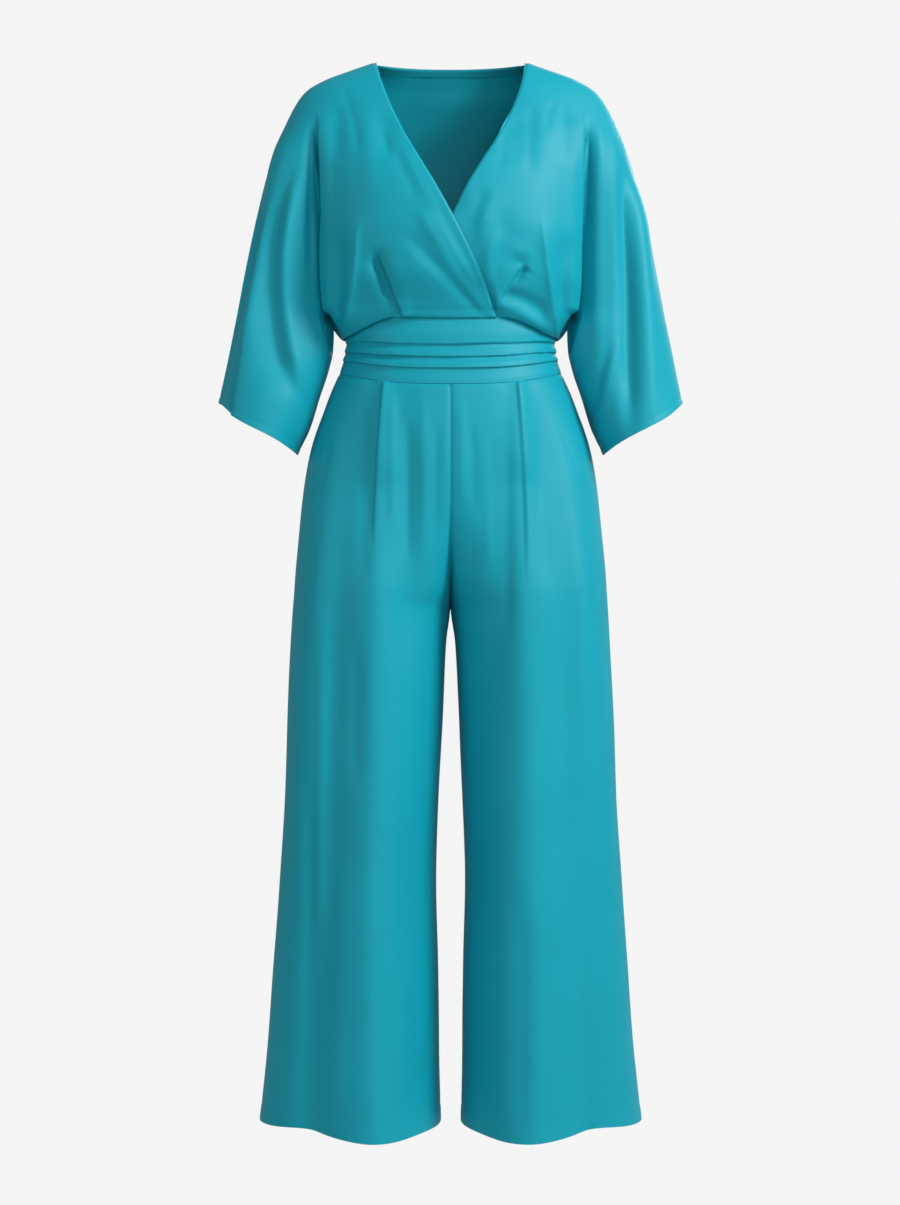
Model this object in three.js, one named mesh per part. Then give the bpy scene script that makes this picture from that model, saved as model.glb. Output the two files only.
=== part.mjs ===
// A wrap-front jumpsuit with kimono sleeves and wide legs, hollow and filled out as worn.
// Millimetres. +X is the viewer's right, the front faces -Y and +Z is up.
// The origin is midway between the two neck points. "Drop" is the distance below it.
import * as THREE from "three";

// Cloth and seams
const WALL = 1.5;
const SEAM = 0.15; // each piece stops this far short of a seam line
const TEAL = "#1f93a6";
const DARK_TEAL = "#176f80";

// Main heights, as drops
const SLEEVE_LEVEL = 90; // above it the rows follow the shoulder line
const UNDERARM = 335;
const FORK = 735;
const HEM = 1420;

// Widths from the centre line
const NECK_POINT = 102;
const SHOULDER_POINT = 166;
const UNDERARM_X = 165;
const WAIST_X = 141;
const LAP = 6; // how far the under front lies behind the over front
const FOLD_ROUND = 1.06; // the body's round would close this much wider than its fold

const FRONT = -1;
const BACK = 1;

// Half widths and depths of the bodice at each height: "half" runs out to the sleeve's outer edge,
// "fold" is where the body turns back under the arm, and "split" says how far body and sleeve are parted.
const BODICE = table(
  ["drop", "half", "front", "back", "fold", "split"],
  [
    [0, 103, 32, 58, 124, 0],
    [12, 137, 42, 64, 136, 0],
    [24, 168, 48, 70, 146, 0],
    [40, 195.5, 56, 76, 156, 0],
    [60, 210.5, 66, 84, 165, 0],
    [90, 225, 82, 93, 172, 0.04],
    [120, 238, 96, 100, 175, 0.3],
    [160, 249.7, 111, 106, 175, 0.58],
    [200, 259.5, 121, 109, 175, 0.76],
    [240, 268.4, 126, 111, 175, 0.86],
    [290, 278.6, 122, 112, 175, 0.93],
    [335, 287, 104, 107, 172, 1],
    [400, 300, 100, 100, 150, 1],
    [455, 312, 100, 100, 150, 1],
    [530, 328, 100, 100, 150, 1],
  ],
);

// The wrap edges, each measured from the centre line towards its own shoulder
const WRAP = table(
  ["drop", "over", "under"],
  [
    [0, 102, 102],
    [27, 93.5, 96.7],
    [60, 81.5, 86.5],
    [99, 64.7, 69.5],
    [149, 36.7, 40],
    [175, 21.6, 24.5],
    [219, -1.9, 2],
    [256, -20.6, -14],
    [294, -38, -32],
    [354, -61, -54],
  ],
);

// The free sleeve below the underarm: its inner edge, and its depth to each side of the seams
const SLEEVE = table(
  ["drop", "inner", "depth"],
  [
    [90, 180, 50],
    [200, 170, 52],
    [335, 165, 60],
    [362, 160.4, 63],
    [387, 160.5, 65],
    [413, 164, 67],
    [454, 176.5, 71],
    [494, 189, 74],
    [528, 206, 76],
  ],
);
const CUFF_INNER_DROP = 528;
const CUFF_OUTER_DROP = 458;

// How the bodice turns under at the waist where it blouses in full: "reach" is 1 at the underarm
// section and 0 on the band, and "out" is how far it then stays clear of the band
const BLOUSE = table(
  ["share", "reach", "out", "drop"],
  [
    [0, 1, 0, 335],
    [0.2, 0.86, 0, 346],
    [0.4, 0.54, 0.8, 360],
    [0.55, 0.26, 2.2, 370],
    [0.68, 0.1, 3.2, 373.5],
    [0.8, 0.02, 3.4, 370],
    [0.93, 0, 2.6, 346],
    [1, 0, 0, 346],
  ],
);
const BLOUSE_FROM = 60; // no blousing nearer the centre front than this
const BACK_BLOUSE = 0.75; // share of it at the centre back

// The waistband: half width and depths at each share of its height
const BAND = table(
  ["share", "half", "front", "back"],
  [
    [0, WAIST_X, 95, 88],
    [0.46, 140, 95.5, 88.5],
    [0.63, 141.5, 97, 90],
    [0.77, 144, 98.5, 92.5],
    [1, 149.5, 102, 97],
  ],
);
const BAND_TOP = { centre: 353.5, side: 346 };
const BAND_BOTTOM = { centre: 439, side: 419.5 };
// Lower edges of the band's folded layers, as shares of its height
const TUCKS = [
  { centre: 0.404, side: 0.463 },
  { centre: 0.599, side: 0.626 },
  { centre: 0.766, side: 0.77 },
];
const TUCK_LIFT = 2.2;
const TUCK_EDGE = 0.014; // share of the height over which a layer ends

// The trousers: half width, depths of each leg, half the gap between the legs,
// the leg's middle, how far the section has become two legs, and where the seam at the centre runs
const TROUSERS = table(
  ["drop", "half", "front", "back", "gap", "middle", "legs", "frontSeam", "backSeam"],
  [
    [430, 149.5, 102, 97, SEAM, 60, 0, -102, 97],
    [446, 152.5, 103.5, 101, SEAM, 62, 0.03, -103.5, 101],
    [464, 164.5, 105.5, 106, SEAM, 67, 0.07, -105, 106],
    [482, 175.5, 108, 112, SEAM, 72, 0.12, -107, 111],
    [534, 191, 111, 124, SEAM, 82, 0.3, -109, 123],
    [588, 199, 113, 131, SEAM, 92, 0.55, -105, 129],
    [640, 204, 114, 133, SEAM, 99, 0.78, -92, 121],
    [690, 208.5, 114, 129, SEAM, 103, 0.95, -58, 80],
    [715, 210, 114, 126, SEAM, 105, 1, -26, 44],
    [735, 211.5, 114, 124, SEAM, 106, 1, 6, 6],
    [777, 214, 114, 121, 5.4, 108, 1, 6, 6],
    [884, 219, 113, 118, 10.8, 110, 1, 5, 5],
    [992, 222, 112, 117, 16, 111, 1, 4, 4],
    [1100, 230, 112, 118, 19, 112, 1, 3, 3],
    [1208, 238, 112, 120, 16.5, 110, 1, 2, 2],
    [1315, 246, 113, 122, 16, 108, 1, 1, 1],
    [1420, 256.5, 114, 125, 14, 106, 1, 0, 0],
  ],
);
const LEG_LEVEL = 482; // above it the rows follow the band's lower edge

// Folds, as seen from the front: from one point to another, widening and rising on the way.
// A negative height is a trough. "x" is measured from the centre line to the viewer's right.
const FOLD_NAMES = ["x0", "drop0", "x1", "drop1", "width0", "width1", "height0", "height1"];
const OVER_FOLDS = folds([
  [-98, 274, -70, 338, 12, 11, -9, -5],
  [-44, 248, 30, 332, 14, 11, -5, -2.5],
  [-38, 218, 6, 290, 12, 10, 4, 3],
  [-24, 206, 44, 322, 9, 7, -3, -3],
  [-151, 68, -149, 142, 11, 9, -4, -2],
  [-87, 88, -88, 145, 14, 12, -4, -2],
  [-125, 232, -136, 366, 10, 11, 3, 5],
  [-151, 245, -150, 362, 12, 10, -4, -4],
]);
const UNDER_FOLDS = folds([
  [92, 276, 66, 330, 12, 11, -8, -5],
  [74, 222, 52, 318, 11, 9, -5, -3],
  [44, 190, 16, 252, 11, 8, -5, -3],
  [56, 188, 30, 262, 10, 8, 4, 3],
  [151, 68, 149, 142, 11, 9, -4, -2],
  [87, 88, 88, 145, 14, 12, -4, -2],
  [124, 236, 135, 366, 10, 11, 4, 5],
  [152, 250, 148, 362, 11, 10, -4, -4],
]);
const LEG_FOLDS = folds([
  [90, 430, 92, 560, 9, 24, 4, 6],
  [92, 520, 108, 1650, 22, 50, 3, 30],
  [128, 470, 160, 900, 22, 26, -4, -5],
  [150, 800, 196, 1650, 20, 24, -3, -12],
  [55, 520, 60, 800, 18, 20, -4, -3],
  [172, 640, 205, 1100, 16, 20, 4, 5],
]);
const SEAT_FOLDS = folds([
  [95, 560, 114, 1650, 30, 44, 3, 18],
  [165, 700, 194, 1650, 24, 26, -3, -8],
  [55, 700, 50, 1300, 22, 24, -3, -5],
]);
const BACK_FOLDS = folds([
  [118, 110, 128, 366, 22, 14, -4, -4],
  [60, 60, 70, 366, 26, 16, 3, 4],
  [150, 180, 146, 366, 10, 10, 3, 4],
  [26, 190, 34, 366, 16, 12, -3, -4],
]);

// Numbers

function mix(a, b, share) {
  return a + (b - a) * share;
}

function smooth(from, to, value) {
  return THREE.MathUtils.smoothstep(value, from, to);
}

// Evenly spaced values from one end to the other, both included.
function steps(from, to, count) {
  return Array.from({ length: count + 1 }, (_, i) => mix(from, to, i / count));
}

// Slope of a curve through the given values that never overshoots them.
function slopeAt(keys, values, i) {
  const secant = (j) => (values[j + 1] - values[j]) / (keys[j + 1] - keys[j]);
  if (i === 0) return secant(0);
  if (i === keys.length - 1) return secant(i - 1);
  const before = secant(i - 1);
  const after = secant(i);
  return before * after <= 0 ? 0 : (2 * before * after) / (before + after);
}

function curveAt(keys, values, key) {
  const last = keys.length - 2;
  const i = Math.min(last, Math.max(0, keys.findLastIndex((k) => k <= key)));
  const span = keys[i + 1] - keys[i];
  const t = THREE.MathUtils.clamp((key - keys[i]) / span, 0, 1);
  const rise = t * t * (3 - 2 * t);
  const bend0 = slopeAt(keys, values, i) * span * t * (1 - t) * (1 - t);
  const bend1 = slopeAt(keys, values, i + 1) * span * t * t * (t - 1);
  return mix(values[i], values[i + 1], rise) + bend0 + bend1;
}

// A table of named columns. Its reader gives a column's value where the key column has a value.
function table(names, rows) {
  const column = (name) => rows.map((row) => row[names.indexOf(name)]);
  return (name, key, keyName = names[0]) => curveAt(column(keyName), column(name), key);
}

// Depth, as a share of the greatest, at a share of the half width.
function roundness(share) {
  return Math.sqrt(Math.max(0, 1 - Math.abs(share) ** 2.3));
}

// Folds

function folds(rows) {
  return rows.map((row) => Object.fromEntries(FOLD_NAMES.map((name, i) => [name, row[i]])));
}

function foldHeight(fold, x, drop) {
  const along = new THREE.Vector2(fold.x1 - fold.x0, fold.drop1 - fold.drop0);
  const from = new THREE.Vector2(x - fold.x0, drop - fold.drop0);
  const share = from.dot(along) / along.lengthSq();
  const away = Math.abs(from.cross(along)) / along.length();
  const ends = smooth(-0.15, 0.2, share) * (1 - smooth(0.8, 1.15, share));
  const t = THREE.MathUtils.clamp(share, 0, 1);
  const profile = Math.exp(-((away / mix(fold.width0, fold.width1, t)) ** 2));
  return mix(fold.height0, fold.height1, t) * profile * ends;
}

function reliefOf(foldList) {
  return (x, drop) => foldList.reduce((sum, fold) => sum + foldHeight(fold, x, drop), 0);
}

// Cloth: a surface of points and faces. "towards" holds the directions in which a point's seams
// meet other pieces, and "loose" how far folds may move it.

function cloth() {
  return { points: [], towards: [], loose: [], faces: [], index: new Map() };
}

// The number of a point. The same place is the same point.
function pointNumber(sheet, { place, towards = [], loose = 1 }) {
  const key = place.toArray().map((v) => v.toFixed(2)).join();
  if (!sheet.index.has(key)) {
    sheet.index.set(key, sheet.points.length);
    sheet.points.push(place);
    sheet.towards.push([]);
    sheet.loose.push(loose);
  }
  const number = sheet.index.get(key);
  sheet.towards[number].push(...towards);
  return number;
}

// Adds a patch over rows and columns. "turned" swaps which side of it faces out.
function addPatch(sheet, rows, columns, pointAt, turned) {
  const numbers = rows.map((row) => columns.map((column) => pointNumber(sheet, pointAt(column, row))));
  for (let r = 0; r < rows.length - 1; r++) {
    for (let c = 0; c < columns.length - 1; c++) {
      const ring = [numbers[r][c], numbers[r][c + 1], numbers[r + 1][c + 1], numbers[r + 1][c]];
      addQuad(sheet, turned ? ring.reverse() : ring);
    }
  }
}

// Two triangles across the shorter diagonal.
function addQuad(sheet, [a, b, c, d]) {
  const span = (i, j) => sheet.points[i].distanceToSquared(sheet.points[j]);
  if (span(a, c) <= span(b, d)) sheet.faces.push([a, b, c], [a, c, d]);
  else sheet.faces.push([a, b, d], [b, c, d]);
}

function normalsOf(points, faces) {
  const normals = points.map(() => new THREE.Vector3());
  for (const [a, b, c] of faces) {
    const ab = points[b].clone().sub(points[a]);
    const ac = points[c].clone().sub(points[a]);
    const normal = ab.cross(ac);
    for (const i of [a, b, c]) normals[i].add(normal);
  }
  return normals.map((normal) => normal.normalize());
}

// The wall's inner points. At a seam they never reach past its line.
function innerPoints(sheet, wall) {
  const normals = normalsOf(sheet.points, sheet.faces);
  return sheet.points.map((point, i) => {
    const inward = normals[i].clone().negate();
    for (const toward of sheet.towards[i]) {
      const past = inward.dot(toward);
      if (past > 0) inward.addScaledVector(toward, -past).normalize();
    }
    return point.clone().addScaledVector(inward, wall);
  });
}

// Moves each point along its normal by the height that the folds give it there.
function raise(sheet, heightAt) {
  const normals = normalsOf(sheet.points, sheet.faces);
  sheet.points.forEach((point, i) => {
    if (sheet.towards[i].length) return;
    point.addScaledVector(normals[i], heightAt(point) * sheet.loose[i]);
  });
}

// Edges that belong to one face only, in that face's direction.
function borderEdges(faces) {
  const edges = new Map();
  for (const [a, b, c] of faces) {
    for (const [i, j] of [[a, b], [b, c], [c, a]]) {
      if (!edges.delete(`${j},${i}`)) edges.set(`${i},${j}`, [i, j]);
    }
  }
  return [...edges.values()];
}

// The closed wall between outer and inner points.
function wallGeometry(outer, inner, faces) {
  const count = outer.length;
  const triangles = [...faces];
  for (const [a, b, c] of faces) triangles.push([a + count, c + count, b + count]);
  for (const [a, b] of borderEdges(faces)) {
    triangles.push([b, a, a + count], [b, a + count, b + count]);
  }
  const geometry = new THREE.BufferGeometry().setFromPoints([...outer, ...inner]);
  return geometry.setIndex(triangles.flat());
}

function clothMesh(name, geometry, color = TEAL) {
  const material = new THREE.MeshStandardMaterial({ color, roughness: 0.45, metalness: 0 });
  const mesh = new THREE.Mesh(geometry, material);
  mesh.name = name;
  return mesh;
}

function sheetMesh(name, sheet) {
  return clothMesh(name, wallGeometry(sheet.points, innerPoints(sheet, WALL), sheet.faces));
}

// The waistband's section, from the centre (0) to the side (1)

function seamDrop(line, x, half) {
  return mix(line.centre, line.side, Math.min(1, (x / half) ** 2));
}

function bandPlan(face, turn, share) {
  const half = BAND("half", share);
  const depth = BAND(face === FRONT ? "front" : "back", share);
  const angle = (turn * Math.PI) / 2;
  const x = half * Math.sin(angle) ** (2 / 2.3);
  const y = Math.max(SEAM, depth * Math.cos(angle));
  return { x, y, half, depth };
}

// The band's outer line at the waist seam, for a bodice column at x on the underarm section.
function waistPlan(face, across, underarm) {
  const depth = BAND(face === FRONT ? "front" : "back", 0);
  const narrowed = (x) => x * (1 - 0.24 * smooth(BLOUSE_FROM, BODICE("fold", UNDERARM), Math.abs(x)));
  if (across <= 1) {
    const x = narrowed(underarm.x);
    return { x, y: depth * roundness(x / WAIST_X) };
  }
  const turnX = narrowed(BODICE("fold", UNDERARM));
  const y = mix(depth * roundness(turnX / WAIST_X), SEAM, across - 1);
  const x = WAIST_X * (1 - (y / depth) ** 2) ** (1 / 2.3);
  return { x, y };
}

// The bodice. "across" runs from the wrap edge or centre back (0) over the body's fold (1)
// and the underarm line (2) to the sleeve's outer seam (3). "down" runs from the shoulder (0)
// over the sleeve level (1) and the underarm (2) to the waist or the cuff (3).

function innerEdge(panel, drop) {
  return panel.edge ? WRAP(panel.edge, drop) : 0;
}

function notchX(drop) {
  return mix(BODICE("fold", drop) * 1.05, UNDERARM_X, BODICE("split", drop));
}

function levelX(panel, across, drop) {
  const fold = BODICE("fold", drop);
  if (across <= 1) return mix(innerEdge(panel, drop), fold, 1 - (1 - across) ** 1.2);
  if (across <= 2) return mix(fold, notchX(drop), across - 1);
  return mix(notchX(drop), BODICE("half", drop), across - 2);
}

// The top edge: the shoulder seam, and on the back the neck edge before it.
function topPoint(panel, across) {
  if (panel.face === FRONT) return shoulderPoint(mix(NECK_POINT, SHOULDER_POINT, across / 3));
  if (across <= 1) return { x: NECK_POINT * across, drop: 2 * (1 - across ** 2) };
  return shoulderPoint(mix(NECK_POINT, SHOULDER_POINT, (across - 1) / 2));
}

function shoulderPoint(x) {
  return { x, drop: Math.max(0, BODICE("drop", x, "half")) };
}

function upperPoint(panel, across, down) {
  const top = topPoint(panel, across);
  const share = down ** 1.7;
  const drop = mix(top.drop, SLEEVE_LEVEL, share);
  const edge = innerEdge(panel, drop) - mix(innerEdge(panel, 0), innerEdge(panel, SLEEVE_LEVEL), share);
  const outer = BODICE("half", drop) - mix(SHOULDER_POINT, BODICE("half", SLEEVE_LEVEL), share);
  const x = mix(top.x, levelX(panel, across, SLEEVE_LEVEL), share);
  return { x: x + edge * (1 - across / 3) ** 3 + outer * (across / 3) ** 3, drop };
}

// A sleeve half's depth, from its inner edge (0) to its outer seam (1): leaning outward
// while it still joins the body, an oval once it hangs free.
function sleeveLobe(share, free) {
  const leaning = 1.7 * share ** 0.9 * Math.sqrt(1 - share ** 3);
  const oval = Math.sqrt(1 - (2 * share - 1) ** 2);
  return mix(leaning, oval, free);
}

// Where the over front covers it, the under front lies further in.
function lapInset(panel, x, drop) {
  return panel.edge === "under" ? LAP * lapShare(x, drop) : 0;
}

function lapShare(x, drop) {
  const edge = -WRAP("over", drop);
  const fade = mix(45, 10, smooth(219, 330, drop));
  return 1 - smooth(edge + 2, edge + fade, x);
}

// Depth with body and sleeve fully parted: the body's round, its side turning back, the sleeve's lobe.
function partedY(panel, across, x, drop) {
  const depth = BODICE(panel.face === FRONT ? "front" : "back", drop);
  const fold = BODICE("fold", drop);
  if (across <= 1) return depth * roundness(x / (fold * FOLD_ROUND));
  if (across <= 2) return mix(depth * roundness(1 / FOLD_ROUND), SEAM, across - 1);
  return SEAM + SLEEVE("depth", drop) * sleeveLobe(across - 2, 0);
}

function bodiceY(panel, across, x, drop) {
  const depth = BODICE(panel.face === FRONT ? "front" : "back", drop);
  const joined = depth * roundness(x / BODICE("half", drop));
  return mix(joined, partedY(panel, across, x, drop), BODICE("split", drop));
}

function onSide(panel, side, x, y, drop) {
  return new THREE.Vector3(side * x, panel.face * Math.max(y, SEAM), -drop);
}

function bodicePlace(panel, side, across, down) {
  const upper = down <= 1;
  const level = mix(SLEEVE_LEVEL, UNDERARM, down - 1);
  const at = upper
    ? upperPoint(panel, across, down)
    : { x: levelX(panel, across, level), drop: level };
  const seam = across === 3 || (down === 0 && at.x >= NECK_POINT);
  const y = bodiceY(panel, across, at.x, at.drop) - lapInset(panel, at.x, at.drop);
  return onSide(panel, side, at.x, seam ? SEAM : y, at.drop);
}

// Below the underarm the body blouses over the band.
function blousePlace(panel, side, across, down) {
  const share = down - 2;
  const from = { x: levelX(panel, across, UNDERARM) };
  from.y = bodiceY(panel, across, from.x, UNDERARM);
  const to = waistPlan(panel.face, across, from);
  const least = panel.face === FRONT ? 0 : BACK_BLOUSE;
  const full = mix(least, 1, smooth(BLOUSE_FROM, WAIST_X, Math.abs(to.x)));
  const seam = seamDrop(BAND_TOP, to.x, WAIST_X) - SEAM;
  const turned = mix(BLOUSE("drop", share), seam, smooth(0.8, 0.93, share));
  const reach = mix(1 - share, BLOUSE("reach", share), full);
  const out = new THREE.Vector2(to.x, to.y * 2).setLength(full * BLOUSE("out", share));
  const drop = mix(mix(UNDERARM, seam, share), turned, full);
  const x = mix(to.x + out.x, from.x, reach);
  const y = across === 2 ? SEAM : mix(to.y + out.y, from.y, reach) - lapInset(panel, x, drop);
  return onSide(panel, side, x, y, drop);
}

// Below the underarm the sleeve hangs free to its slanted cuff.
function sleevePlace(panel, side, across, down) {
  const share = down - 2;
  const around = across - 2;
  const drop = mix(UNDERARM, mix(CUFF_INNER_DROP, CUFF_OUTER_DROP, around), share);
  const x = mix(SLEEVE("inner", drop), BODICE("half", drop), around);
  const depth = SLEEVE("depth", drop) * sleeveLobe(around, smooth(0, 0.6, share));
  return onSide(panel, side, x, SEAM + depth, drop);
}

function bodiceTowards(panel, across, down) {
  const meets = [];
  const onShoulder = down === 0 && (panel.face === FRONT || across >= 1);
  const onSeam = across === 3 || (across === 2 && down >= 2);
  if (onShoulder || onSeam) meets.push(new THREE.Vector3(0, -panel.face, 0));
  if (down === 3 && across <= 2) meets.push(new THREE.Vector3(0, 0, -1));
  return meets;
}

const TORSO_COLUMNS = [...steps(0, 1, 10), ...steps(1, 2, 3).slice(1)];
const SLEEVE_COLUMNS = steps(2, 3, 7);
const BODICE_COLUMNS = [...TORSO_COLUMNS, ...SLEEVE_COLUMNS.slice(1)];
const BODICE_ROWS = [...steps(0, 1, 6), ...steps(1, 2, 9).slice(1)];
const BLOUSE_ROWS = [2, 2.2, 2.4, 2.55, 2.68, 2.8, 2.93, 3];
const SLEEVE_ROWS = steps(2, 3, 6);

function addBodiceSide(sheet, panel, side) {
  const turned = side * panel.face < 0;
  const add = (rows, columns, placeAt) => {
    const pointAt = (across, down) => ({
      place: placeAt(panel, side, across, down),
      towards: bodiceTowards(panel, across, down),
      loose: 1 - smooth(2.3, 2.6, across <= 2 ? down : 0),
    });
    addPatch(sheet, rows, columns, pointAt, turned);
  };
  add(BODICE_ROWS, BODICE_COLUMNS, bodicePlace);
  add(BLOUSE_ROWS, TORSO_COLUMNS, blousePlace);
  add(SLEEVE_ROWS, SLEEVE_COLUMNS, sleevePlace);
}

function bodiceFront(name, side, panel, heightAt) {
  const sheet = cloth();
  addBodiceSide(sheet, panel, side);
  raise(sheet, (point) => heightAt(point.x, -point.z));
  return sheetMesh(name, sheet);
}

function bodiceFrontOver() {
  const relief = reliefOf(OVER_FOLDS);
  return bodiceFront("bodice_front_over", -1, { face: FRONT, edge: "over" }, relief);
}

function bodiceFrontUnder() {
  const over = reliefOf(OVER_FOLDS);
  const under = reliefOf(UNDER_FOLDS);
  const heightAt = (x, drop) => mix(under(x, drop), over(x, drop), lapShare(x, drop));
  return bodiceFront("bodice_front_under", 1, { face: FRONT, edge: "under" }, heightAt);
}

const BACK_PANEL = { face: BACK, edge: null };

function bodiceBack() {
  const relief = reliefOf(BACK_FOLDS);
  const sheet = cloth();
  for (const side of [-1, 1]) addBodiceSide(sheet, BACK_PANEL, side);
  raise(sheet, (point) => relief(Math.abs(point.x), -point.z));
  return sheetMesh("bodice_back", sheet);
}

// The band inside the back neck lies just inside the back's wall.
const NECK_BAND = { end: 0.9, depth: 0.3, gap: 0.6, wall: 1 };

function backNeckBand() {
  const sheet = cloth();
  const columns = steps(-NECK_BAND.end, NECK_BAND.end, 16);
  const pointAt = (across, down) => ({
    place: bodicePlace(BACK_PANEL, Math.sign(across) || 1, Math.abs(across), down),
  });
  addPatch(sheet, steps(0.02, NECK_BAND.depth, 2), columns, pointAt, false);
  const outer = innerPoints(sheet, WALL + NECK_BAND.gap);
  const inner = innerPoints(sheet, WALL + NECK_BAND.gap + NECK_BAND.wall);
  return clothMesh("back_neck_band", wallGeometry(outer, inner, sheet.faces), DARK_TEAL);
}

// Waistband

function tuckShare(tuck, turn) {
  return mix(tuck.centre, tuck.side, Math.abs(turn) ** 2);
}

// The band's height in rows: each folded layer ends in a short step.
function bandRows(face) {
  if (face === BACK) return steps(0, 1, 5).map((share) => () => ({ share, lift: 0 }));
  const layer = TUCKS.flatMap((tuck) => [
    (turn) => ({ share: tuckShare(tuck, turn) - TUCK_EDGE, lift: TUCK_LIFT }),
    (turn) => ({ share: tuckShare(tuck, turn) + TUCK_EDGE, lift: 0.4 }),
  ]);
  const top = () => ({ share: 0, lift: 0 });
  const bulge = (turn) => ({ share: tuckShare(TUCKS[0], turn) / 2, lift: TUCK_LIFT * 0.6 });
  return [top, bulge, ...layer, () => ({ share: 1, lift: 0.8 })];
}

function bandPlace(face, turn, { share, lift }) {
  const { x, y, half, depth } = bandPlan(face, Math.abs(turn), share);
  const out = new THREE.Vector2(x / half ** 2, y / depth ** 2).normalize().multiplyScalar(lift);
  const top = seamDrop(BAND_TOP, x, half) + SEAM;
  const bottom = seamDrop(BAND_BOTTOM, x, half) - SEAM;
  const atSide = y <= SEAM;
  const outY = atSide ? y : y + out.y;
  return new THREE.Vector3(Math.sign(turn) * (x + out.x), face * outY, -mix(top, bottom, share));
}

function bandTowards(face, turn) {
  return Math.abs(turn) === 1 ? [new THREE.Vector3(0, -face, 0)] : [];
}

// Its inside is plain: the same places without the lift, one wall further in.
function waistband(name, face) {
  const turns = steps(-1, 1, 24);
  const rows = bandRows(face);
  const sides = [1, 0].map((raised) => {
    const sheet = cloth();
    const pointAt = (turn, row) => {
      const { share, lift } = row(turn);
      const place = bandPlace(face, turn, { share, lift: lift * raised });
      return { place, towards: bandTowards(face, turn) };
    };
    addPatch(sheet, rows, turns, pointAt, face < 0);
    return sheet;
  });
  const [raised, plain] = sides;
  return clothMesh(name, wallGeometry(raised.points, innerPoints(plain, WALL), raised.faces));
}

// Trousers. "across" runs from the centre seam (0) over the leg's middle (1) to the side seam (2).

function trouserPlan(face, across, drop) {
  const read = (name) => TROUSERS(name, drop);
  const legs = read("legs");
  const depth = read(face === FRONT ? "front" : "back");
  const seamY = face * read(face === FRONT ? "frontSeam" : "backSeam");
  const angle = (across * Math.PI) / 4;
  const hip = { x: read("half") * Math.sin(angle) ** (2 / 2.3), y: depth * Math.cos(angle) };
  const leg = across <= 1 ? innerLeg(read, across, depth) : outerLeg(read, across, depth);
  const inward = across < 1 ? (1 - Math.sin((across * Math.PI) / 2) ** 0.9) * (seamY - depth) : 0;
  return { x: mix(hip.x, leg.x, legs), y: mix(hip.y, leg.y, legs) + inward };
}

function innerLeg(read, across, depth) {
  const x = mix(read("gap"), read("middle"), 1 - Math.cos((across * Math.PI) / 2));
  return { x, y: depth };
}

function outerLeg(read, across, depth) {
  const angle = ((across - 1) * Math.PI) / 2;
  const x = mix(read("middle"), read("half"), Math.sin(angle) ** (2 / 2.3));
  return { x, y: depth * Math.cos(angle) };
}

// A row above the leg level follows the band's lower edge in part.
function trouserPlace(face, side, across, drop) {
  const { x, y } = trouserPlan(face, across, drop);
  const share = 1 - smooth(TROUSER_ROWS[0], LEG_LEVEL, drop);
  const waist = seamDrop(BAND_BOTTOM, x, TROUSERS("half", drop)) + SEAM;
  const height = drop >= LEG_LEVEL ? drop : mix(drop, waist, share);
  const reach = across === 0 && drop <= FORK ? SEAM : Math.max(SEAM, x);
  const inseam = across === 0 && drop >= FORK;
  const seamed = across === 2 ? SEAM : y + (inseam ? SEAM : 0);
  return new THREE.Vector3(side * reach, face * seamed, -height);
}

function trouserTowards(face, side, across, drop) {
  const meets = [];
  if (across === 0 && drop <= FORK) meets.push(new THREE.Vector3(-side, 0, 0));
  if (across === 2 || (across === 0 && drop >= FORK)) meets.push(new THREE.Vector3(0, -face, 0));
  if (drop === TROUSER_ROWS[0]) meets.push(new THREE.Vector3(0, 0, 1));
  return meets;
}

const TROUSER_COLUMNS = [...steps(0, 1, 8), ...steps(1, 2, 7).slice(1)];
const TROUSER_ROWS = [
  430, 446, 464, 490, 525, 565, 605, 640, 668, 692, 715, FORK,
  755, 790, 845, 915, 990, 1065, 1140, 1215, 1290, 1360, HEM,
];

function trouserPanel(name, face, side, relief) {
  const sheet = cloth();
  const pointAt = (across, drop) => ({
    place: trouserPlace(face, side, across, drop),
    towards: trouserTowards(face, side, across, drop),
  });
  addPatch(sheet, TROUSER_ROWS, TROUSER_COLUMNS, pointAt, side * face < 0);
  raise(sheet, (point) => relief(Math.abs(point.x), -point.z));
  return sheetMesh(name, sheet);
}

// The whole garment. Right and left are the wearer's.

function jumpsuit() {
  const group = new THREE.Group();
  group.name = "jumpsuit";
  group.add(bodiceFrontOver(), bodiceFrontUnder(), bodiceBack(), backNeckBand());
  group.add(waistband("waistband_front", FRONT), waistband("waistband_back", BACK));
  for (const [hand, side] of [["right", -1], ["left", 1]]) {
    group.add(trouserPanel(`trouser_front_${hand}`, FRONT, side, reliefOf(LEG_FOLDS)));
    group.add(trouserPanel(`trouser_back_${hand}`, BACK, side, reliefOf(SEAT_FOLDS)));
  }
  return group;
}

export default jumpsuit();
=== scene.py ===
"""Looks for the wrap-front jumpsuit with kimono sleeves and wide legs.

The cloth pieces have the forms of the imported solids, at a finer pitch and with creases, hems and seams.
Sizes in the tables are millimetres. A "drop" is the distance below the neck points.
"""

import math

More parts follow.
